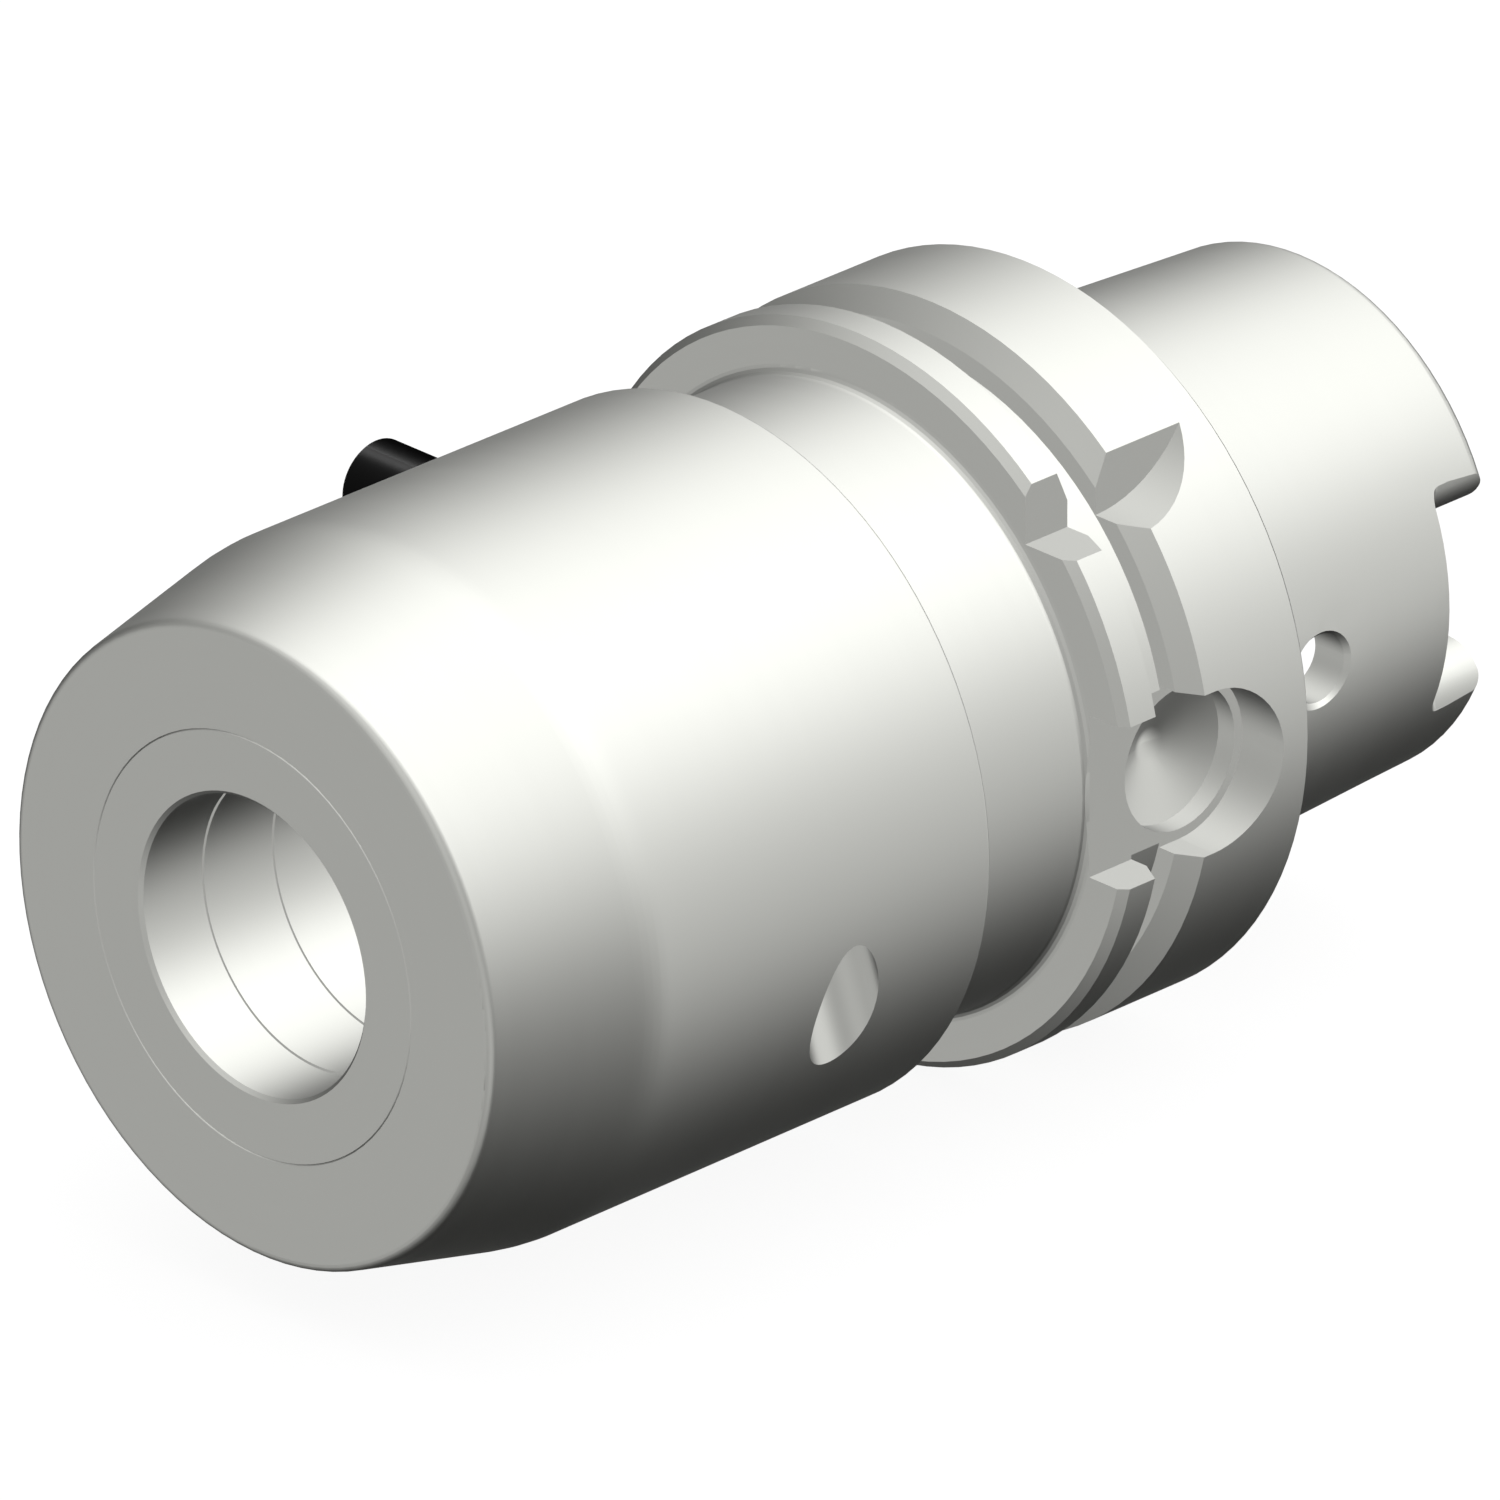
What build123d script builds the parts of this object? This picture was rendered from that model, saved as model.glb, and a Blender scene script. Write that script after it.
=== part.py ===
from build123d import *
from build123d.topology import SkipClean
from math import cos, pi, radians, sin, sqrt, tan
import os

# A hydraulic expansion chuck with a hollow taper shank, in millimetres.
# The chuck's axis is X. The origin is the centre of the flange's contact face, which seats on a
# spindle nose. +X runs towards the nose that holds the tool, -X into the taper shank, +Y towards
# the narrower gripper slot, and +Z is up.

# Taper shank
shank_length = 39.4
taper_gauge_d = 60.012
taper_gauge_distance = 8.0
taper_length_per_diameter = 9.98
shank_end_rounding = 1.4
undercut_width = 1.6
undercut_depth = 0.5
undercut_face_depth = 0.2
undercut_face_rise = 0.6

# Hollow inside the shank, where the spindle's clamping fingers pull
clamp_mouth_d = 42.0
clamp_undercut_d = 50.0
clamp_shoulder_distance = 22.85
clamp_shoulder_angle = 30.0
clamp_mouth_chamfer = 1.0
hollow_floor_distance = 4.0
hollow_floor_fillet = 1.5

# Drive slots across the shank's open end
drive_slot_width = 16.04
drive_slot_depth = 8.0
drive_slot_flare_radius = 4.6
drive_slot_flare_height = 25.77
drive_slot_floor_fillet = 1.3

# Radial hole through the taper for a hand wrench
access_hole_d = 7.5
access_hole_distance = 12.0
access_hole_chamfer = 0.75

# Flange with the tool changer's groove
flange_d = 80.0
flange_length = 26.0
flange_rear_chamfer = 0.7
flange_front_chamfer = 0.9
groove_centre = 18.0
groove_floor_d = 70.3
groove_floor_width = 4.0
groove_mouth_width = 7.04
groove_wall_angle = 30.0

# Gripper slots in the flange, open towards the nose
gripper_slot_width = 18.0
wide_gripper_slot_width = 20.0
gripper_slot_end = 4.1
gripper_slot_floor_height = 34.1
balance_bore_d = 15.8
balance_bore_wall_depth = 2.3
balance_bore_point_angle = 140.0

# Square orientation notch, milled along X and run out by the cutter's radius
notch_offset = 24.9
notch_cutter_d = 28.8
notch_cutter_stop = 16.0

# Neck, body and nose
neck_d = 68.1
neck_fillet = 1.0
body_d = 76.1
body_start = 44.0
body_edge_fillet = 0.35
projection = 110.0
nose_cone_drop = 4.0
nose_cone_angle = 12.0
nose_cone_blend = 20.0
nose_fillet = 1.0
corner_band_count = 4

# Tool bore and the expansion sleeve brazed into the body
tool_bore_d = 32.0
tool_bore_depth = 68.0
tool_bore_chamfer = 0.4
bore_floor_chamfer = 1.0
sleeve_length = 64.0
sleeve_d = 38.0
collar_d = 45.56
collar_length = 8.0
braze_gap = 0.02
joint_edge_chamfer = 0.08
wiper_groove_setbacks = (8.5, 18.2)
wiper_groove_width = 0.5
wiper_groove_depth = 0.3
membrane_thickness = 1.7
chamber_end_land = 1.0
rear_chamber_length = 34.0
rear_chamber_setback = 24.0
chamber_link_width = 2.0
chamber_link_depth = 0.8

# Actuating screw and pressure piston, in one cross bore along Y
cross_bore_distance = 63.0
cross_bore_wall = 1.73
actuating_screw_d = 9.6
actuating_screw_length = 18.0
actuating_screw_proud = 2.6
actuating_screw_socket = 5.0
actuating_screw_socket_depth = 5.0
actuating_screw_chamfer = 0.25
actuating_screw_tip_d = 6.0
actuating_screw_tip_length = 1.2
thread_gap = 0.05
actuating_stroke = 5.2
piston_d = 7.9
piston_gap = 0.05
piston_length = 10.0
piston_contact_gap = 0.05
seal_groove_setback = 2.0
seal_groove_depth = 1.2
seal_width = 1.6
seal_edge_fillet = 0.4
backup_ring_width = 0.8
seal_gap = 0.03
pressure_space_length = 14.0
oil_feed_setback = 8.0
oil_feed_d = 2.5
oil_channel_d = 2.0

# Bleed bore, slanted across the body opposite the screw, with its ball and screw
bleed_axis_angle = -69.0
bleed_outer_wall = 3.65
bleed_bore_d = 8.8
bleed_seat_depth = 21.4
bleed_seat_angle = 118.0
bleed_ball_d = 5.0
bleed_screw_length = 9.0
bleed_screw_socket = 4.0
bleed_screw_socket_depth = 4.0
seat_gap = 0.02

# Length stop screw behind the tool, with a hole for coolant
stop_screw_d = 16.0
stop_screw_length = 20.0
stop_screw_setback = 0.5
stop_screw_socket = 8.0
stop_screw_socket_depth = 8.0
stop_screw_chamfer = 0.8
coolant_hole_d = 5.0
stop_seal_section = 1.9
stop_seal_setback = 4.0
stop_seal_groove_width = 2.2
stop_thread_length = 28.0

# Seat for a coolant tube at the bottom of the hollow
coolant_thread_core_d = 18.38
coolant_thread_length = 12.0
coolant_spigot_d = 23.0
coolant_spigot_depth = 3.0
coolant_passage_d = 15.0

# Hexagon sockets
hexagon_sides = 6

# Length that cutting tools run past the metal
overrun = 5.0


def taper_radius(x):
    """Radius of the taper at a station behind the contact face."""
    return taper_gauge_d / 2 + (x + taper_gauge_distance) / (2 * taper_length_per_diameter)


def rounded(face, corners):
    """Round the named corners of a flat outline, each given as a point and a radius."""
    for point, radius in corners:
        corner = face.vertices().sort_by_distance(Vector(*point))[0]
        face = fillet(corner, radius)
    return face


def bevelled(face, corners):
    """Chamfer the named corners of a flat outline, each given as a point and a length."""
    for point, length in corners:
        corner = face.vertices().sort_by_distance(Vector(*point))[0]
        face = chamfer(corner, length)
    return face


def banded(face):
    """Divide each round corner of a flat outline into even bands."""
    lines = []
    for edge in face.edges():
        bands = corner_band_count if edge.geom_type == GeomType.CIRCLE else 1
        lines += [edge.trim(step / bands, (step + 1) / bands) for step in range(bands)]
    return make_face(lines)


def outline(points):
    """A flat face from a list of (x, radius) points."""
    return make_face(Polyline(*points, close=True))


def turned(face):
    """Turn a flat outline about the chuck's axis, its round corners in even bands."""
    return revolve(banded(face), axis=Axis.X, clean=False)


def rod(frame, diameter, start, end):
    """A cylinder along a frame's Z, from start to end."""
    blank = Cylinder(diameter / 2, end - start, align=(Align.CENTER, Align.CENTER, Align.MIN))
    return frame * Pos(0, 0, start) * blank


def cone(frame, start_d, end_d, start, end):
    """A cone or a truncated cone along a frame's Z."""
    align = (Align.CENTER, Align.CENTER, Align.MIN)
    blank = Cone(start_d / 2, end_d / 2, end - start, align=align)
    return frame * Pos(0, 0, start) * blank


def hexagon(frame, across_flats, start, end):
    """A hexagonal prism along a frame's Z."""
    flat = RegularPolygon(across_flats / 2, hexagon_sides, major_radius=False)
    return frame * Pos(0, 0, start) * extrude(flat, end - start)


# Stations along the chuck's axis that several pieces share
bore_floor = projection - tool_bore_depth
sleeve_start = projection - sleeve_length
collar_start = projection - collar_length
stop_screw_front = bore_floor - stop_screw_setback
stop_screw_rear = stop_screw_front - stop_screw_length
stop_thread_start = bore_floor - stop_thread_length
hollow_floor = -hollow_floor_distance
spigot_floor = hollow_floor + coolant_spigot_depth
coolant_thread_end = spigot_floor + coolant_thread_length

# The nose's front face is as wide as the cone leaves it
nose_d = body_d - 2 * nose_cone_drop

# The cross bore passes just outside the sleeve's seat
thread_bore_d = actuating_screw_d + 2 * thread_gap
cross_bore_height = sleeve_d / 2 + braze_gap + cross_bore_wall + thread_bore_d / 2

# Stations along the cross bore, whose frame looks inwards from the screw's side
screw_side = sqrt((body_d / 2) ** 2 - cross_bore_height**2)
actuating_screw_reach = screw_side + actuating_screw_proud
screw_outer = -actuating_screw_reach
screw_inner = screw_outer + actuating_screw_length
piston_rear = screw_inner + piston_contact_gap
piston_front = piston_rear + piston_length
thread_bore_end = screw_inner + actuating_stroke + thread_gap
pressure_space_end = piston_front + pressure_space_length
oil_feed_station = piston_front + oil_feed_setback

cross_frame = Plane(
    origin=(cross_bore_distance, 0, cross_bore_height), x_dir=(1, 0, 0), z_dir=(0, 1, 0)
)

# The bleed bore's frame has its origin where the bore's axis passes nearest the chuck's axis
bleed_axis_offset = body_d / 2 - bleed_outer_wall - bleed_bore_d / 2
bleed_turn = radians(bleed_axis_angle)
bleed_outwards = (0, cos(bleed_turn), sin(bleed_turn))
bleed_foot = (
    cross_bore_distance,
    -bleed_axis_offset * sin(bleed_turn),
    bleed_axis_offset * cos(bleed_turn),
)
bleed_frame = Plane(origin=bleed_foot, x_dir=(1, 0, 0), z_dir=bleed_outwards)
bleed_mouth = sqrt((body_d / 2) ** 2 - bleed_axis_offset**2)
bleed_seat = bleed_mouth - bleed_seat_depth
bleed_half_angle = radians(bleed_seat_angle / 2)
bleed_apex = bleed_seat - bleed_bore_d / 2 / tan(bleed_half_angle)
ball_station = bleed_apex + (bleed_ball_d / 2 + seat_gap) / sin(bleed_half_angle)
bleed_screw_start = ball_station + bleed_ball_d / 2 + seat_gap


def outer_body():
    """The one turned outline of shank, flange, neck, body and nose."""
    flange_r = flange_d / 2
    groove_r = groove_floor_d / 2
    half_floor = groove_floor_width / 2
    half_mouth = groove_mouth_width / 2
    wall_r = flange_r - (half_mouth - half_floor) / tan(radians(groove_wall_angle))
    body_r = body_d / 2
    neck_r = neck_d / 2
    nose_r = nose_d / 2
    cone_start = projection - (body_r - nose_r) / tan(radians(nose_cone_angle))
    step = body_r - neck_r
    step_fillet = min(neck_fillet, step / 2)
    step_edge_fillet = min(body_edge_fillet, step / 4)
    end_r = taper_radius(-shank_length)
    undercut_top_r = taper_radius(-undercut_width)
    undercut_r = undercut_top_r - undercut_depth

    face = outline([
        (-shank_length, 0),
        (-shank_length, end_r),
        (-undercut_width, undercut_top_r),
        (-undercut_width / 2, undercut_r),
        (undercut_face_depth, undercut_r),
        (undercut_face_depth, undercut_top_r),
        (0, undercut_top_r + undercut_face_rise),
        (0, flange_r - flange_rear_chamfer),
        (flange_rear_chamfer, flange_r),
        (groove_centre - half_mouth, flange_r),
        (groove_centre - half_floor, wall_r),
        (groove_centre - half_floor, groove_r),
        (groove_centre + half_floor, groove_r),
        (groove_centre + half_floor, wall_r),
        (groove_centre + half_mouth, flange_r),
        (flange_length - flange_front_chamfer, flange_r),
        (flange_length, flange_r - flange_front_chamfer),
        (flange_length, neck_r),
        (body_start, neck_r),
        (body_start, body_r),
        (cone_start, body_r),
        (projection, nose_r),
        (projection, 0),
    ])
    face = rounded(face, [
        ((-shank_length, end_r), shank_end_rounding),
        ((flange_length, neck_r), neck_fillet),
        ((body_start, neck_r), step_fillet),
        ((body_start, body_r), step_edge_fillet),
        ((cone_start, body_r), nose_cone_blend),
        ((projection, nose_r), nose_fillet),
    ])
    return turned(face)


def shank_hollow():
    """The hollow that the clamping fingers reach into, with its 30 degree shoulder."""
    mouth_r = clamp_mouth_d / 2
    undercut_r = clamp_undercut_d / 2
    shoulder = -clamp_shoulder_distance
    shoulder_run = (undercut_r - mouth_r) / tan(radians(clamp_shoulder_angle))
    face = outline([
        (-shank_length - overrun, 0),
        (-shank_length - overrun, mouth_r + clamp_mouth_chamfer + overrun),
        (-shank_length, mouth_r + clamp_mouth_chamfer),
        (-shank_length + clamp_mouth_chamfer, mouth_r),
        (shoulder, mouth_r),
        (shoulder + shoulder_run, undercut_r),
        (hollow_floor, undercut_r),
        (hollow_floor, 0),
    ])
    return turned(rounded(face, [((hollow_floor, undercut_r), hollow_floor_fillet)]))


def centre_bores():
    """Coolant seat and passage, stop screw thread, tool bore and sleeve seat."""
    seat_r = sleeve_d / 2 + braze_gap
    collar_seat_r = collar_d / 2 + braze_gap
    coolant_r = coolant_thread_core_d / 2
    passage_r = coolant_passage_d / 2
    stop_r = stop_screw_d / 2 + thread_gap
    bore_r = tool_bore_d / 2
    coolant_way = outline([
        (hollow_floor - overrun, 0),
        (hollow_floor - overrun, coolant_spigot_d / 2),
        (spigot_floor, coolant_spigot_d / 2),
        (spigot_floor, coolant_r),
        (coolant_thread_end, coolant_r),
        (coolant_thread_end + coolant_r - passage_r, passage_r),
        (bore_floor, passage_r),
        (bore_floor, 0),
    ])
    tool_way = outline([
        (stop_thread_start, 0),
        (stop_thread_start, stop_r),
        (bore_floor, stop_r),
        (bore_floor, bore_r - bore_floor_chamfer),
        (bore_floor + bore_floor_chamfer, bore_r),
        (sleeve_start - braze_gap, bore_r),
        (sleeve_start - braze_gap, seat_r),
        (collar_start - braze_gap, seat_r),
        (collar_start - braze_gap, collar_seat_r),
        (projection - joint_edge_chamfer, collar_seat_r),
        (projection, collar_seat_r + joint_edge_chamfer),
        (projection + overrun, collar_seat_r + joint_edge_chamfer),
        (projection + overrun, 0),
    ])
    return turned(coolant_way) + turned(tool_way)


def drive_slot():
    """One drive slot on the +Y side: square flanks that flare out to the taper."""
    half_width = drive_slot_width / 2
    flare = drive_slot_flare_radius
    flare_start = drive_slot_flare_height - flare
    outer = taper_radius(0) + overrun
    side = half_width + flare
    arc_turn = radians(45)
    arc_middle = (
        flare_start + flare * cos(arc_turn),
        side - flare * sin(arc_turn),
    )
    lines = [
        Line((0, -half_width), (0, half_width)),
        Line((0, half_width), (flare_start, half_width)),
        ThreePointArc((flare_start, half_width), arc_middle, (drive_slot_flare_height, side)),
        Line((drive_slot_flare_height, side), (outer, side)),
        Line((outer, side), (outer, -side)),
        Line((outer, -side), (drive_slot_flare_height, -side)),
        ThreePointArc(
            (drive_slot_flare_height, -side),
            (arc_middle[0], -arc_middle[1]),
            (flare_start, -half_width),
        ),
        Line((flare_start, -half_width), (0, -half_width)),
    ]
    face = make_face(lines)
    end_frame = Plane(origin=(-shank_length - overrun, 0, 0), x_dir=(0, 1, 0), z_dir=(1, 0, 0))
    cutter = end_frame * extrude(face, overrun + drive_slot_depth)
    floor_edges = cutter.faces().sort_by(Axis.X)[-1].edges()
    return fillet(floor_edges, drive_slot_floor_fillet)


def access_hole():
    """The chamfered radial hole in the taper."""
    frame = Plane(origin=(-access_hole_distance, 0, 0), x_dir=(1, 0, 0), z_dir=(0, 1, 0))
    surface = taper_radius(-access_hole_distance)
    hole = rod(frame, access_hole_d, clamp_mouth_d / 2, surface + overrun)
    chamfer_start = surface - access_hole_chamfer
    mouth_d = access_hole_d + 2 * (access_hole_chamfer + overrun)
    return hole + cone(frame, access_hole_d, mouth_d, chamfer_start, surface + overrun)


def gripper_slot(width):
    """A slot in the flange on the +Y side, round at its inner end and open towards the nose."""
    arc_centre = gripper_slot_end + width / 2
    length = flange_length + overrun / 2 - arc_centre
    height = flange_d / 2 + overrun - gripper_slot_floor_height
    floor = (arc_centre, gripper_slot_floor_height, 0)
    frame = Plane(origin=floor, x_dir=(1, 0, 0), z_dir=(0, 1, 0))
    end = Cylinder(width / 2, height, align=(Align.CENTER, Align.CENTER, Align.MIN))
    run = Box(length, width, height, align=(Align.MIN, Align.CENTER, Align.MIN))
    return frame * (end + run)


def balance_bore():
    """The shallow drilled bore in the floor of the +Y gripper slot."""
    floor = (gripper_slot_end + gripper_slot_width / 2, gripper_slot_floor_height, 0)
    frame = Plane(origin=floor, x_dir=(1, 0, 0), z_dir=(0, -1, 0))
    point = balance_bore_d / 2 / tan(radians(balance_bore_point_angle / 2))
    wall = rod(frame, balance_bore_d, -overrun / 2, balance_bore_wall_depth)
    tip_end = balance_bore_wall_depth + point
    return wall + cone(frame, balance_bore_d, 0, balance_bore_wall_depth, tip_end)


def orientation_notch():
    """The notch at 45 degrees: one flat wall, one flat floor, and the cutter's run-out."""
    cutter_r = notch_cutter_d / 2
    top = notch_offset + cutter_r
    front = flange_length + overrun / 2
    outer = flange_d / 2 + overrun
    arc_turn = radians(45)
    arc_middle = (notch_cutter_stop - cutter_r * cos(arc_turn), top - cutter_r * sin(arc_turn))
    back = notch_cutter_stop - cutter_r
    lines = [
        Line((notch_cutter_stop, notch_offset), (front, notch_offset)),
        Line((front, notch_offset), (front, outer)),
        Line((front, outer), (back, outer)),
        Line((back, outer), (back, top)),
        ThreePointArc((back, top), arc_middle, (notch_cutter_stop, notch_offset)),
    ]
    frame = Plane(origin=(0, notch_offset, 0), x_dir=(1, 0, 0), z_dir=(0, -1, 0))
    return frame * extrude(make_face(lines), -(outer - notch_offset))


def cross_bore():
    """Screw thread, piston bore and the oil ways, drilled across the body."""
    body_r = body_d / 2
    thread = rod(cross_frame, thread_bore_d, -body_r - overrun, thread_bore_end)
    piston_bore_d = piston_d + 2 * piston_gap
    piston_bore = rod(cross_frame, piston_bore_d, thread_bore_end, pressure_space_end)
    reach = (cross_bore_height - bleed_foot[2]) / bleed_outwards[2]
    meeting = bleed_foot[1] + reach * bleed_outwards[1]
    link = rod(cross_frame, oil_channel_d, pressure_space_end, meeting)
    bleed_link = rod(bleed_frame, oil_channel_d, reach, bleed_seat)
    feed_top = (cross_bore_distance, oil_feed_station, cross_bore_height)
    feed_frame = Plane(origin=feed_top, x_dir=(1, 0, 0), z_dir=(0, 0, -1))
    seat_drop = cross_bore_height - sqrt((sleeve_d / 2) ** 2 - oil_feed_station**2)
    feed = rod(feed_frame, oil_feed_d, 0, seat_drop + oil_feed_d / 2)
    return thread + piston_bore + link + bleed_link + feed


def bleed_bore():
    """The slanted bore with a conical seat for the bleed ball."""
    bore = rod(bleed_frame, bleed_bore_d, bleed_seat, bleed_mouth + overrun + bleed_bore_d)
    return bore + cone(bleed_frame, 0, bleed_bore_d, bleed_apex, bleed_seat)


def chuck_body():
    """Shank, flange, neck and body in one piece of steel. Its round corners keep their bands."""
    with SkipClean():
        body = outer_body() - shank_hollow() - centre_bores()
        body -= drive_slot()
        body -= mirror(drive_slot(), about=Plane.XZ)
        body -= access_hole()
        body -= gripper_slot(gripper_slot_width)
        body -= mirror(gripper_slot(wide_gripper_slot_width), about=Plane.XZ)
        body -= balance_bore()
        body -= orientation_notch()
        body -= cross_bore()
        body -= bleed_bore()
    return body


def wiper_groove_stations():
    """Stations of the fine grooves in the bore, from the nose inwards."""
    return [projection - setback for setback in wiper_groove_setbacks]


def sleeve_outline():
    """The sleeve's section, with the mouth chamfer and the collar that shows on the nose."""
    bore_r = tool_bore_d / 2
    sleeve_r = sleeve_d / 2
    collar_r = collar_d / 2
    return outline([
        (sleeve_start, bore_r),
        (sleeve_start, sleeve_r),
        (collar_start, sleeve_r),
        (collar_start, collar_r),
        (projection - joint_edge_chamfer, collar_r),
        (projection, collar_r - joint_edge_chamfer),
        (projection, bore_r + tool_bore_chamfer),
        (projection - tool_bore_chamfer, bore_r),
    ])


def ring(inner_r, outer_r, start, end):
    """A plain ring about the chuck's axis."""
    return turned(outline([(start, inner_r), (start, outer_r), (end, outer_r), (end, inner_r)]))


def expansion_sleeve():
    """The thin-walled sleeve that oil pressure squeezes onto the tool."""
    bore_r = tool_bore_d / 2
    sleeve_r = sleeve_d / 2
    membrane_r = bore_r + membrane_thickness
    outer_groove, inner_groove = wiper_groove_stations()
    front_start = inner_groove + chamber_end_land
    front_end = outer_groove - chamber_end_land
    rear_end = projection - rear_chamber_setback
    rear_start = rear_end - rear_chamber_length
    link_r = sleeve_r - chamber_link_depth
    sleeve = turned(sleeve_outline())
    sleeve -= ring(membrane_r, sleeve_r + overrun, front_start, front_end)
    sleeve -= ring(membrane_r, sleeve_r + overrun, rear_start, rear_end)
    for station in (outer_groove, inner_groove):
        half = wiper_groove_width / 2
        deep_r = bore_r + wiper_groove_depth
        sleeve -= ring(bore_r - overrun, deep_r, station - half, station + half)
    link = Box(
        front_start - rear_end,
        chamber_link_width,
        overrun,
        align=(Align.MIN, Align.CENTER, Align.MIN),
    )
    return sleeve - Pos(rear_end, 0, link_r) * link


def actuating_screw():
    """The black screw that drives the piston, with a hexagon socket in its outer end."""
    tip_start = screw_inner - actuating_screw_tip_length
    screw = rod(cross_frame, actuating_screw_d, screw_outer, tip_start)
    screw = chamfer(screw.edges().filter_by(GeomType.CIRCLE), actuating_screw_chamfer)
    screw += rod(cross_frame, actuating_screw_tip_d, tip_start, screw_inner)
    socket_end = screw_outer + actuating_screw_socket_depth
    screw -= hexagon(cross_frame, actuating_screw_socket, screw_outer, socket_end)
    bevel_d = actuating_screw_socket / cos(pi / hexagon_sides)
    bevel_end = screw_outer + actuating_screw_chamfer
    return screw - cone(cross_frame, bevel_d, actuating_screw_socket, screw_outer, bevel_end)


def seal_groove():
    """Start and end of the groove that holds the piston's seal and its backup ring."""
    end = piston_front - seal_groove_setback
    return end - seal_width - backup_ring_width - 3 * seal_gap, end


def pressure_piston():
    """The small piston that pushes the oil, with one groove near its front."""
    start, end = seal_groove()
    piston = rod(cross_frame, piston_d, piston_rear, piston_front)
    piston = chamfer(piston.edges().filter_by(GeomType.CIRCLE), actuating_screw_chamfer)
    groove = rod(cross_frame, piston_d + overrun, start, end)
    groove -= rod(cross_frame, piston_d - 2 * seal_groove_depth, start, end)
    return piston - groove


def groove_ring(start, end):
    """A ring that fills the piston's groove between two stations, with a small gap all round."""
    inner_d = piston_d - 2 * seal_groove_depth + 2 * seal_gap
    outer_d = piston_d + 2 * piston_gap - 2 * seal_gap
    return rod(cross_frame, outer_d, start, end) - rod(cross_frame, inner_d, start, end)


def piston_seal():
    """The soft seal, on the oil's side of the groove, with rounded outer edges."""
    end = seal_groove()[1] - seal_gap
    seal = groove_ring(end - seal_width, end)
    outer_edges = seal.edges().filter_by(GeomType.CIRCLE).sort_by(SortBy.RADIUS)[-2:]
    return fillet(outer_edges, seal_edge_fillet)


def piston_backup_ring():
    """The stiff ring behind the seal that keeps it out of the running gap."""
    start = seal_groove()[0] + seal_gap
    return groove_ring(start, start + backup_ring_width)


def bleed_ball():
    """The ball that the bleed screw holds on the conical seat."""
    return bleed_frame * Pos(0, 0, ball_station) * Sphere(bleed_ball_d / 2)


def bleed_screw():
    """The short set screw behind the ball."""
    end = bleed_screw_start + bleed_screw_length
    screw = rod(bleed_frame, bleed_bore_d - 2 * thread_gap, bleed_screw_start, end)
    screw = chamfer(screw.edges().filter_by(GeomType.CIRCLE), actuating_screw_chamfer)
    return screw - hexagon(bleed_frame, bleed_screw_socket, end - bleed_screw_socket_depth, end)


def stop_seal_station():
    """The middle of the stop screw's seal."""
    return stop_screw_rear + stop_seal_setback


def stop_screw():
    """The length stop, with a hexagon socket behind and coolant through its middle."""
    stop_r = stop_screw_d / 2
    hole_r = coolant_hole_d / 2
    floor_r = stop_r - stop_seal_section - 2 * thread_gap
    half = stop_seal_groove_width / 2
    middle = stop_seal_station()
    face = outline([
        (stop_screw_rear, hole_r),
        (stop_screw_rear, stop_r),
        (middle - half, stop_r),
        (middle - half, floor_r),
        (middle + half, floor_r),
        (middle + half, stop_r),
        (stop_screw_front, stop_r),
        (stop_screw_front, hole_r),
    ])
    face = bevelled(face, [
        ((stop_screw_rear, stop_r), stop_screw_chamfer),
        ((stop_screw_front, stop_r), stop_screw_chamfer),
    ])
    frame = Plane(origin=(stop_screw_rear, 0, 0), x_dir=(0, 1, 0), z_dir=(1, 0, 0))
    return turned(face) - hexagon(frame, stop_screw_socket, 0, stop_screw_socket_depth)


def stop_screw_seal():
    """The round-section ring that seals the stop screw in its bore."""
    middle_r = stop_screw_d / 2 - stop_seal_section / 2 - thread_gap
    frame = Plane(origin=(stop_seal_station(), 0, 0), x_dir=(0, 1, 0), z_dir=(1, 0, 0))
    return frame * Torus(middle_r, stop_seal_section / 2)


nodes = {
    "chuck_body": chuck_body,
    "expansion_sleeve": expansion_sleeve,
    "actuating_screw": actuating_screw,
    "pressure_piston": pressure_piston,
    "piston_seal": piston_seal,
    "piston_backup_ring": piston_backup_ring,
    "bleed_ball": bleed_ball,
    "bleed_screw": bleed_screw,
    "stop_screw": stop_screw,
    "stop_screw_seal": stop_screw_seal,
}

os.makedirs("parts", exist_ok=True)
for name, make in nodes.items():
    export_step(make(), f"parts/{name}.step")
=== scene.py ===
import math

import bpy
from mathutils import Matrix, Vector


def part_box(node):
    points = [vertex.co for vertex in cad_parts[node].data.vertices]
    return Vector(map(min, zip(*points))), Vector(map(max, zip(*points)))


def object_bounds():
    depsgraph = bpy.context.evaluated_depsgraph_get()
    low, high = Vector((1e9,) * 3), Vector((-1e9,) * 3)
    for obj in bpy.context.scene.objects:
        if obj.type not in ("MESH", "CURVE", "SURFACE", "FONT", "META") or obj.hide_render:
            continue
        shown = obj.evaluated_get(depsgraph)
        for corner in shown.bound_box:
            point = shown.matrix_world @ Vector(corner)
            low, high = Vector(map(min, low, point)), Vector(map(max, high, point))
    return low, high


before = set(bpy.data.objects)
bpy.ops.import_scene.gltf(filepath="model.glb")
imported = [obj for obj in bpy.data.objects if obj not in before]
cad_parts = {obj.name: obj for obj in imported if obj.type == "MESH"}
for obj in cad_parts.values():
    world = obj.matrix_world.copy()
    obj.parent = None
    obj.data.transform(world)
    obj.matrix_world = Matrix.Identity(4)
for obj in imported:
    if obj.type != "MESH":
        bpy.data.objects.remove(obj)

# A hydraulic chuck on a pale floor, in metres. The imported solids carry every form; this script
# gives them their finish, the light and the photograph's view.

cad_box = [list(corner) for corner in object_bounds()]
scene = bpy.context.scene

WHITE = (1.0, 1.0, 1.0, 1.0)

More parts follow.
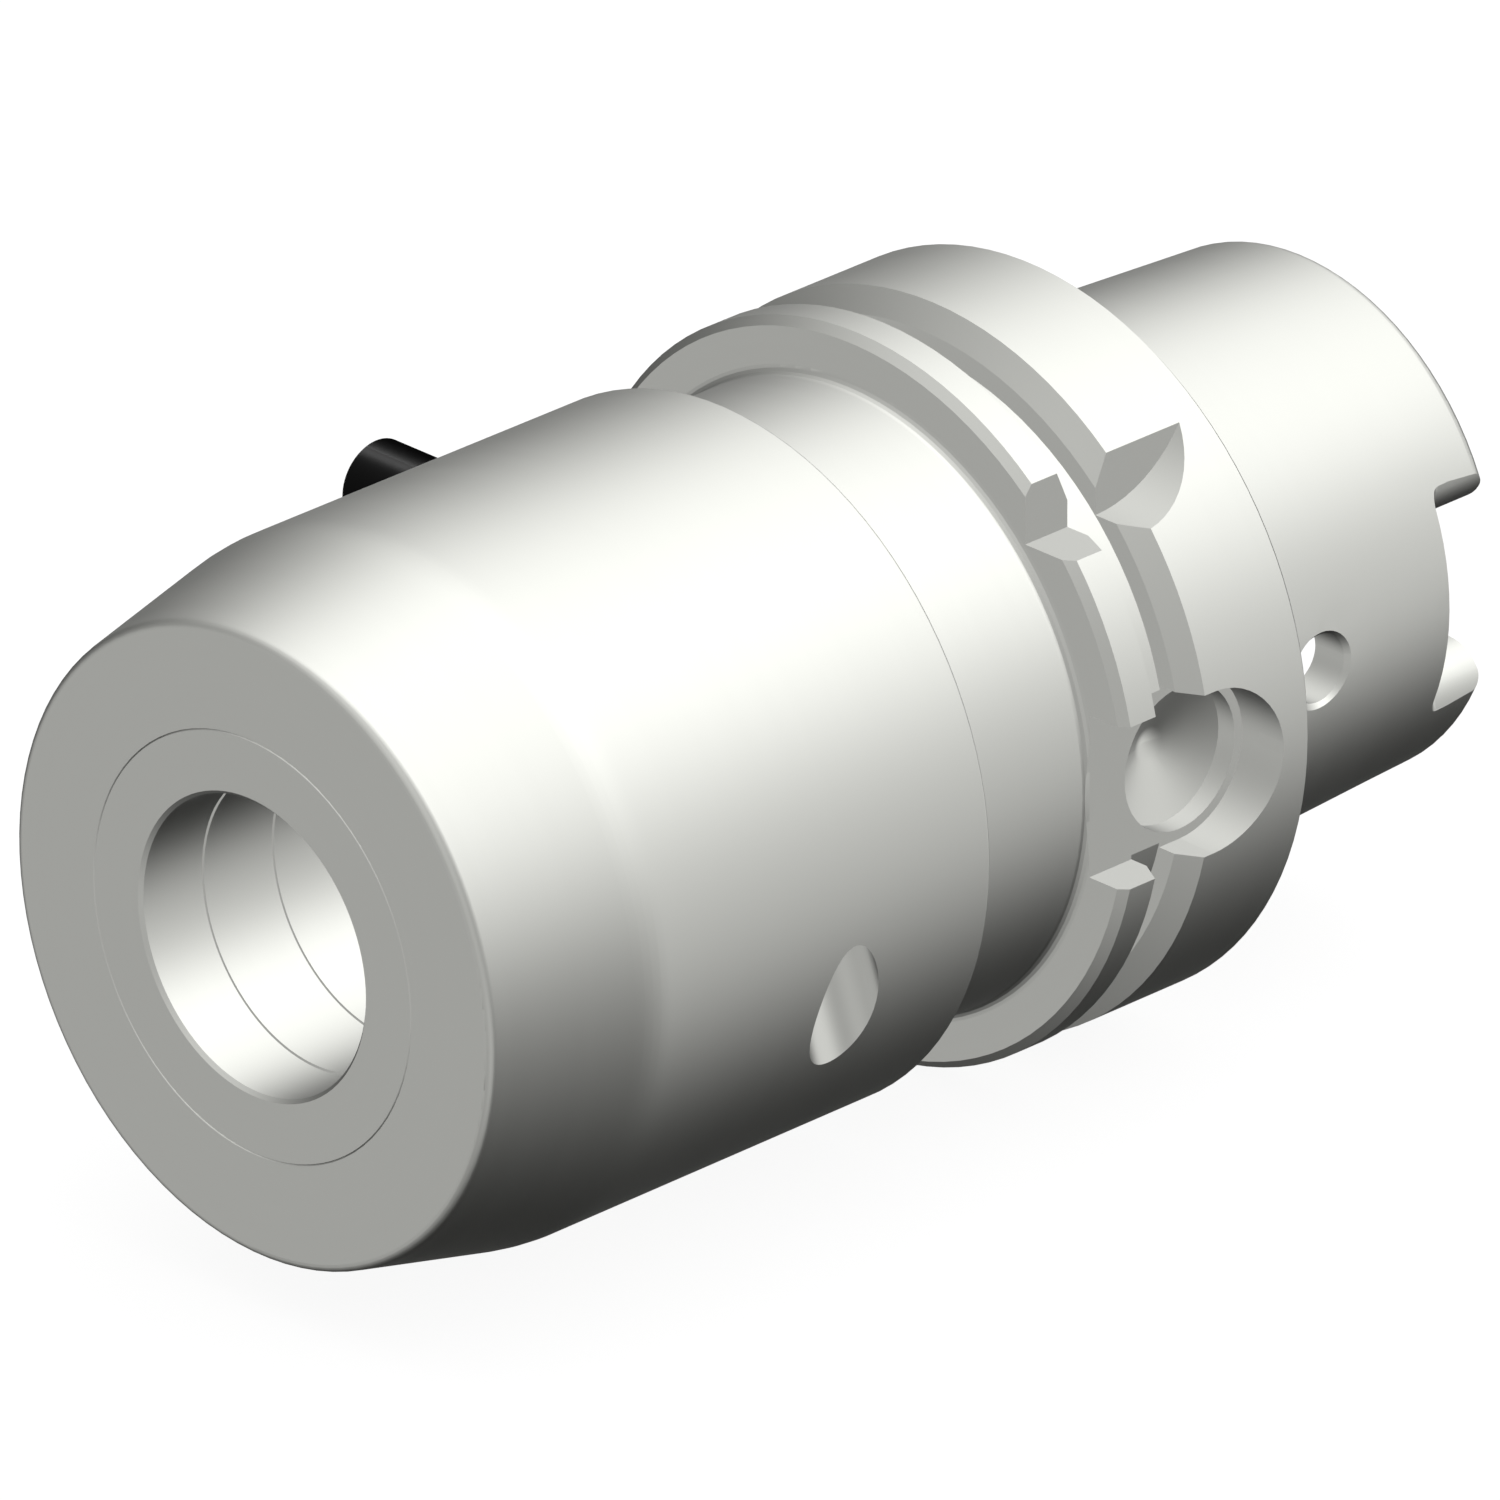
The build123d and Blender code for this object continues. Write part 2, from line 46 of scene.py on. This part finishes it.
# Camera, fitted to the photograph's ellipses and edges
VIEW_AZIMUTH = math.radians(45.41)
VIEW_ELEVATION = math.radians(25.23)
VIEW_ROLL = math.radians(-0.1255)
VIEW_TARGET = Vector((0.056, 0.01592, 0.00908))
VIEW_DISTANCE = 2.9505
VIEW_REACH = 100.0
SENSOR_WIDTH = 36.0
FOCAL_LENGTH = 707.04

# Steel, with marks that run round the chuck's axis on turned faces
STEEL_COLOUR = (0.716, 0.722, 0.684, 1.0)
STEEL_MARKS = 0.15
TURNED_ROUGHNESS = 0.35
TURNED_MARK_SCALE = 9000.0
GLOSS_BAND_SCALE = 700.0
GLOSS_BAND_SHARE = 0.6
GLOSS_CLOUD_SCALE = 60.0
POLISHED_ROUGHNESS = 0.23
POLISHED_GRAIN_SCALE = 2500.0

# Blackened steel, dark also at its edges
BLACK_COLOUR = (0.012, 0.012, 0.012, 1.0)
BLACK_EDGE = (0.0, 0.0, 0.0, 1.0)
BLACK_MARKS = 0.1
BLACK_ROUGHNESS = 0.35
BLACK_GRAIN_SCALE = 1500.0

# What all metals share: the depth of their marks, and how far their roughness shifts
MARK_DEPTH = 0.00001
METAL_SHIFT = 0.03

# Mouldings
RUBBER_COLOUR = (0.02, 0.02, 0.02, 1.0)
RUBBER_ROUGHNESS = 0.55
PLASTIC_COLOUR = (0.80, 0.79, 0.75, 1.0)
PLASTIC_ROUGHNESS = 0.45
MOULDED_CLOUD_SCALE = 800.0
MOULDED_SHIFT = 0.05

# Where a turned face's mesh starts and ends, its direction leans sideways by up to this sine. The
# flat floors of the flange's slots and notch lie within its length and this radius, and are left.
SEAM_LEAN = 0.08
FLANGE_FRONT = 0.026
SLOT_RADIUS = 0.0365

# Soft studio light, as broad glows round the object: azimuth, elevation, sharpness, strength. They
# follow the photograph's brightness, in steps of 15 degrees and 0.05.
GLOWS = (
    (135, 45, 6, 1.35),
    (240, 75, 6, 1.0),
    (150, -15, 12, 0.75),
    (0, 30, 3, 0.7),
    (210, 30, 6, 0.55),
    (105, 15, 6, 0.5),
    (45, -30, 6, 0.5),
    (315, -30, 6, 0.45),
    (195, 45, 6, 0.35),
    (300, 45, 12, 0.2),
    (45, 45, 6, 0.15),
)

# A soft light for the blackened pieces alone, which draws the stripe along the actuating screw
STRIPE_LIGHT_AZIMUTH = math.radians(238)
STRIPE_LIGHT_ELEVATION = math.radians(50)
STRIPE_LIGHT_DISTANCE = 1.0
STRIPE_LIGHT_SIZE = 0.75
STRIPE_LIGHT_POWER = 31.0

# Floor
FLOOR_SIZE = 12.0
FLOOR_COLOUR = (0.15, 0.15, 0.15, 1.0)
FLOOR_GLOW = 0.89

# How often light is followed from surface to surface
ALL_BOUNCES = 6
GLOSSY_BOUNCES = 4
DIFFUSE_BOUNCES = 4


def direction(azimuth, elevation):
    """A unit vector from two angles in radians."""
    level = math.cos(elevation)
    return Vector((level * math.cos(azimuth), level * math.sin(azimuth), math.sin(elevation)))


class Tree:
    """Builds a node tree with short calls."""

    def __init__(self, tree):
        self.tree = tree
        tree.nodes.clear()

    def add(self, kind, **settings):
        node = self.tree.nodes.new(kind)
        for name, value in settings.items():
            setattr(node, name, value)
        return node

    def link(self, source, target):
        self.tree.links.new(source, target)

    def feed(self, socket, value):
        """Set a socket, or link it where the value is another socket."""
        if isinstance(value, bpy.types.NodeSocket):
            self.link(value, socket)
        else:
            socket.default_value = value

    def math(self, operation, *values):
        node = self.add("ShaderNodeMath", operation=operation)
        for socket, value in zip(node.inputs, values):
            self.feed(socket, value)
        return node.outputs[0]

    def vector(self, operation, first, second=(0.0, 0.0, 0.0)):
        """Vector arithmetic. A dot product comes out as a number, and SCALE takes a number second."""
        node = self.add("ShaderNodeVectorMath", operation=operation)
        self.feed(node.inputs[0], first)
        self.feed(node.inputs["Scale"] if operation == "SCALE" else node.inputs[1], second)
        return node.outputs["Value" if operation == "DOT_PRODUCT" else "Vector"]

    def combine(self, x, y, z):
        node = self.add("ShaderNodeCombineXYZ")
        for socket, value in zip(node.inputs, (x, y, z)):
            self.feed(socket, value)
        return node.outputs[0]

    def place(self):
        return self.add("ShaderNodeTexCoord").outputs["Object"]

    def noise(self, vector, scale, detail):
        node = self.add("ShaderNodeTexNoise")
        self.link(vector, node.inputs["Vector"])
        node.inputs["Scale"].default_value = scale
        node.inputs["Detail"].default_value = detail
        return node.outputs["Fac"]

    def around(self, value, middle, shift):
        """Map 0..1 to the stretch that reaches a shift to each side of a middle."""
        node = self.add("ShaderNodeMapRange")
        self.link(value, node.inputs["Value"])
        node.inputs["To Min"].default_value = middle - shift
        node.inputs["To Max"].default_value = middle + shift
        return node.outputs["Result"]

    def background(self, strength):
        node = self.add("ShaderNodeBackground")
        node.inputs["Color"].default_value = WHITE
        self.feed(node.inputs["Strength"], strength)
        return node.outputs["Background"]

    def choose(self, chooser, first, second):
        """The first shader where the chooser is 0, and the second where it is 1."""
        node = self.add("ShaderNodeMixShader")
        for socket, value in zip(node.inputs, (chooser, first, second)):
            self.link(value, socket)
        return node.outputs["Shader"]


def new_material(name):
    material = bpy.data.materials.new(name)
    material.use_nodes = True
    tree = Tree(material.node_tree)
    shader = tree.add("ShaderNodeBsdfPrincipled")
    output = tree.add("ShaderNodeOutputMaterial")
    tree.link(shader.outputs["BSDF"], output.inputs["Surface"])
    return material, tree, shader


def metal(name, colour, marks):
    """A metal with fine marks. Its finish feeds the shader's roughness and the bump."""
    material, tree, shader = new_material(name)
    shader.inputs["Base Color"].default_value = colour
    shader.inputs["Metallic"].default_value = 1.0
    bump = tree.add("ShaderNodeBump")
    bump.inputs["Strength"].default_value = marks
    bump.inputs["Distance"].default_value = MARK_DEPTH
    tree.link(bump.outputs["Normal"], shader.inputs["Normal"])
    return material, tree, shader, bump


def grained_metal(name, colour, marks, roughness, scale):
    """A metal with one even grain all over."""
    material, tree, shader, bump = metal(name, colour, marks)
    grain = tree.noise(tree.place(), scale, 3.0)
    tree.link(tree.around(grain, roughness, METAL_SHIFT), shader.inputs["Roughness"])
    tree.link(grain, bump.inputs["Height"])
    return material, shader


def turned_coordinates(tree, place):
    """Distance along the chuck's axis and from it, and the way round it."""
    split = tree.add("ShaderNodeSeparateXYZ")
    tree.link(place, split.inputs[0])
    x, y, z = split.outputs
    square = tree.math("ADD", tree.math("MULTIPLY", y, y), tree.math("MULTIPLY", z, z))
    way_round = tree.vector("NORMALIZE", tree.combine(0.0, tree.math("MULTIPLY", z, -1.0), y))
    return x, tree.math("SQRT", square), way_round


def turned_normal(tree, x, r, way_round):
    """The surface's direction, less the lean where a turned face's mesh starts and ends."""
    normal = tree.add("ShaderNodeNewGeometry").outputs["Normal"]
    lean = tree.vector("DOT_PRODUCT", normal, way_round)
    small = tree.math("LESS_THAN", tree.math("ABSOLUTE", lean), SEAM_LEAN)
    before = tree.math("SUBTRACT", x, FLANGE_FRONT)
    behind = tree.math("MULTIPLY", x, -1.0)
    outside = tree.math("SUBTRACT", r, SLOT_RADIUS)
    clear = tree.math("MAXIMUM", tree.math("MAXIMUM", before, behind), outside)
    chosen = tree.math("MULTIPLY", small, tree.math("GREATER_THAN", clear, 0.0))
    sideways = tree.vector("SCALE", way_round, tree.math("MULTIPLY", lean, chosen))
    return tree.vector("SUBTRACT", normal, sideways)


def turned_steel(name):
    """Fine turned steel, with slight shifts in gloss."""
    material, tree, shader, bump = metal(name, STEEL_COLOUR, STEEL_MARKS)
    place = tree.place()
    x, r, way_round = turned_coordinates(tree, place)
    profile = tree.combine(x, r, 0.0)
    bands = tree.noise(profile, GLOSS_BAND_SCALE, 2.0)
    clouds = tree.noise(place, GLOSS_CLOUD_SCALE, 3.0)
    band_part = tree.math("MULTIPLY", bands, GLOSS_BAND_SHARE)
    cloud_part = tree.math("MULTIPLY", clouds, 1.0 - GLOSS_BAND_SHARE)
    gloss = tree.around(tree.math("ADD", band_part, cloud_part), TURNED_ROUGHNESS, METAL_SHIFT)
    tree.link(gloss, shader.inputs["Roughness"])
    tree.link(tree.noise(profile, TURNED_MARK_SCALE, 3.0), bump.inputs["Height"])
    tree.link(turned_normal(tree, x, r, way_round), bump.inputs["Normal"])
    return material


def polished_steel(name):
    """Steel ground fine, for the small hidden pieces."""
    return grained_metal(name, STEEL_COLOUR, STEEL_MARKS, POLISHED_ROUGHNESS, POLISHED_GRAIN_SCALE)[0]


def black_oxide(name):
    """Blackened steel with a thin film of oil."""
    material, shader = grained_metal(
        name, BLACK_COLOUR, BLACK_MARKS, BLACK_ROUGHNESS, BLACK_GRAIN_SCALE)
    shader.inputs["Specular Tint"].default_value = BLACK_EDGE
    return material


def soft_moulding(name, colour, roughness):
    """Moulded rubber or plastic with a faint cloudiness."""
    material, tree, shader = new_material(name)
    clouds = tree.noise(tree.place(), MOULDED_CLOUD_SCALE, 2.0)
    tree.link(tree.around(clouds, roughness, MOULDED_SHIFT), shader.inputs["Roughness"])
    shader.inputs["Base Color"].default_value = colour
    return material


def dress(finishes):
    """Give each node its finish. No piece mirrors another, as the photograph has no reflections."""
    for name, material in finishes.items():
        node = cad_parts[name]
        node.data.materials.clear()
        node.data.materials.append(material)
        node.visible_glossy = False


def studio_world():
    """The glows all round, each fading with the angle from its middle. The camera sees white."""
    world = bpy.data.worlds.new("studio")
    scene.world = world
    world.use_nodes = True
    world.cycles.sampling_method = "NONE"
    tree = Tree(world.node_tree)
    way = tree.add("ShaderNodeTexCoord").outputs["Generated"]
    total = 0.0
    for azimuth, elevation, sharpness, strength in GLOWS:
        middle = direction(math.radians(azimuth), math.radians(elevation))
        nearness = tree.math("SUBTRACT", tree.vector("DOT_PRODUCT", way, middle), 1.0)
        glow = tree.math("EXPONENT", tree.math("MULTIPLY", nearness, float(sharpness)))
        total = tree.math("ADD", total, tree.math("MULTIPLY", glow, strength))
    seen = tree.add("ShaderNodeLightPath").outputs["Is Camera Ray"]
    sky = tree.choose(seen, tree.background(total), tree.background(1.0))
    tree.link(sky, tree.add("ShaderNodeOutputWorld").inputs["Surface"])


def stripe_light(lit_names):
    """A soft light behind and above the actuating screw, which only the named nodes take."""
    data = bpy.data.lights.new("stripe_light", "AREA")
    data.shape = "DISK"
    data.size = STRIPE_LIGHT_SIZE
    data.energy = STRIPE_LIGHT_POWER
    light = bpy.data.objects.new("stripe_light", data)
    scene.collection.objects.link(light)
    low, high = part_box("actuating_screw")
    middle = (Vector(low) + Vector(high)) / 2
    toward = direction(STRIPE_LIGHT_AZIMUTH, STRIPE_LIGHT_ELEVATION)
    light.location = middle + STRIPE_LIGHT_DISTANCE * toward
    light.rotation_mode = "QUATERNION"
    light.rotation_quaternion = toward.to_track_quat("Z", "Y")
    lit = bpy.data.collections.new("blackened_pieces")
    for name in lit_names:
        lit.objects.link(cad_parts[name])
    light.light_linking.receiver_collection = lit


def floor_paint():
    """Pale paint that glows up to near white, and is clear from below."""
    material, tree, shader = new_material("floor_paint")
    surface = shader.outputs["BSDF"].links[0].to_socket
    shader.inputs["Base Color"].default_value = FLOOR_COLOUR
    shader.inputs["Roughness"].default_value = 1.0
    shader.inputs["Emission Color"].default_value = WHITE
    shader.inputs["Emission Strength"].default_value = FLOOR_GLOW
    below = tree.add("ShaderNodeNewGeometry").outputs["Backfacing"]
    see_through = tree.add("ShaderNodeBsdfTransparent").outputs["BSDF"]
    tree.link(tree.choose(below, shader.outputs["BSDF"], see_through), surface)
    return material


def pale_floor():
    """A plain floor at the flange's lowest point, which casts no light up and no shadow."""
    half = FLOOR_SIZE / 2
    level = cad_box[0][2]
    mesh = bpy.data.meshes.new("floor")
    corners = [(-half, -half, level), (half, -half, level), (half, half, level), (-half, half, level)]
    mesh.from_pydata(corners, [], [(0, 1, 2, 3)])
    mesh.materials.append(floor_paint())
    floor = bpy.data.objects.new("floor", mesh)
    scene.collection.objects.link(floor)
    floor.visible_diffuse = False
    floor.visible_glossy = False
    floor.visible_shadow = False


def photo_camera():
    """The photograph's view, from the nose's side and above."""
    data = bpy.data.cameras.new("camera")
    data.sensor_width = SENSOR_WIDTH
    data.lens = FOCAL_LENGTH
    data.clip_end = VIEW_REACH
    camera = bpy.data.objects.new("camera", data)
    scene.collection.objects.link(camera)
    back = direction(VIEW_AZIMUTH, VIEW_ELEVATION)
    level_right = Vector((0, 0, 1)).cross(back).normalized()
    level_up = back.cross(level_right)
    right = math.cos(VIEW_ROLL) * level_right + math.sin(VIEW_ROLL) * level_up
    up = back.cross(right)
    turn = Matrix((right, up, back)).transposed()
    camera.matrix_world = Matrix.Translation(VIEW_TARGET + VIEW_DISTANCE * back) @ turn.to_4x4()
    scene.camera = camera


def render_settings():
    """Plain colours, and enough bounces of light for the bores and slots."""
    scene.view_settings.view_transform = "Standard"
    scene.cycles.max_bounces = ALL_BOUNCES
    scene.cycles.glossy_bounces = GLOSSY_BOUNCES
    scene.cycles.diffuse_bounces = DIFFUSE_BOUNCES


body_steel = turned_steel("satin_steel")
sleeve_steel = turned_steel("sleeve_steel")
fine_steel = polished_steel("polished_steel")
black = black_oxide("black_oxide")
rubber = soft_moulding("seal_rubber", RUBBER_COLOUR, RUBBER_ROUGHNESS)
plastic = soft_moulding("backup_plastic", PLASTIC_COLOUR, PLASTIC_ROUGHNESS)

finishes = {
    "chuck_body": body_steel,
    "expansion_sleeve": sleeve_steel,
    "actuating_screw": black,
    "pressure_piston": fine_steel,
    "piston_seal": rubber,
    "piston_backup_ring": plastic,
    "bleed_ball": fine_steel,
    "bleed_screw": black,
    "stop_screw": black,
    "stop_screw_seal": rubber,
}
blackened = [name for name, material in finishes.items() if material == black]

dress(finishes)
studio_world()
stripe_light(blackened)
pale_floor()
photo_camera()
render_settings()
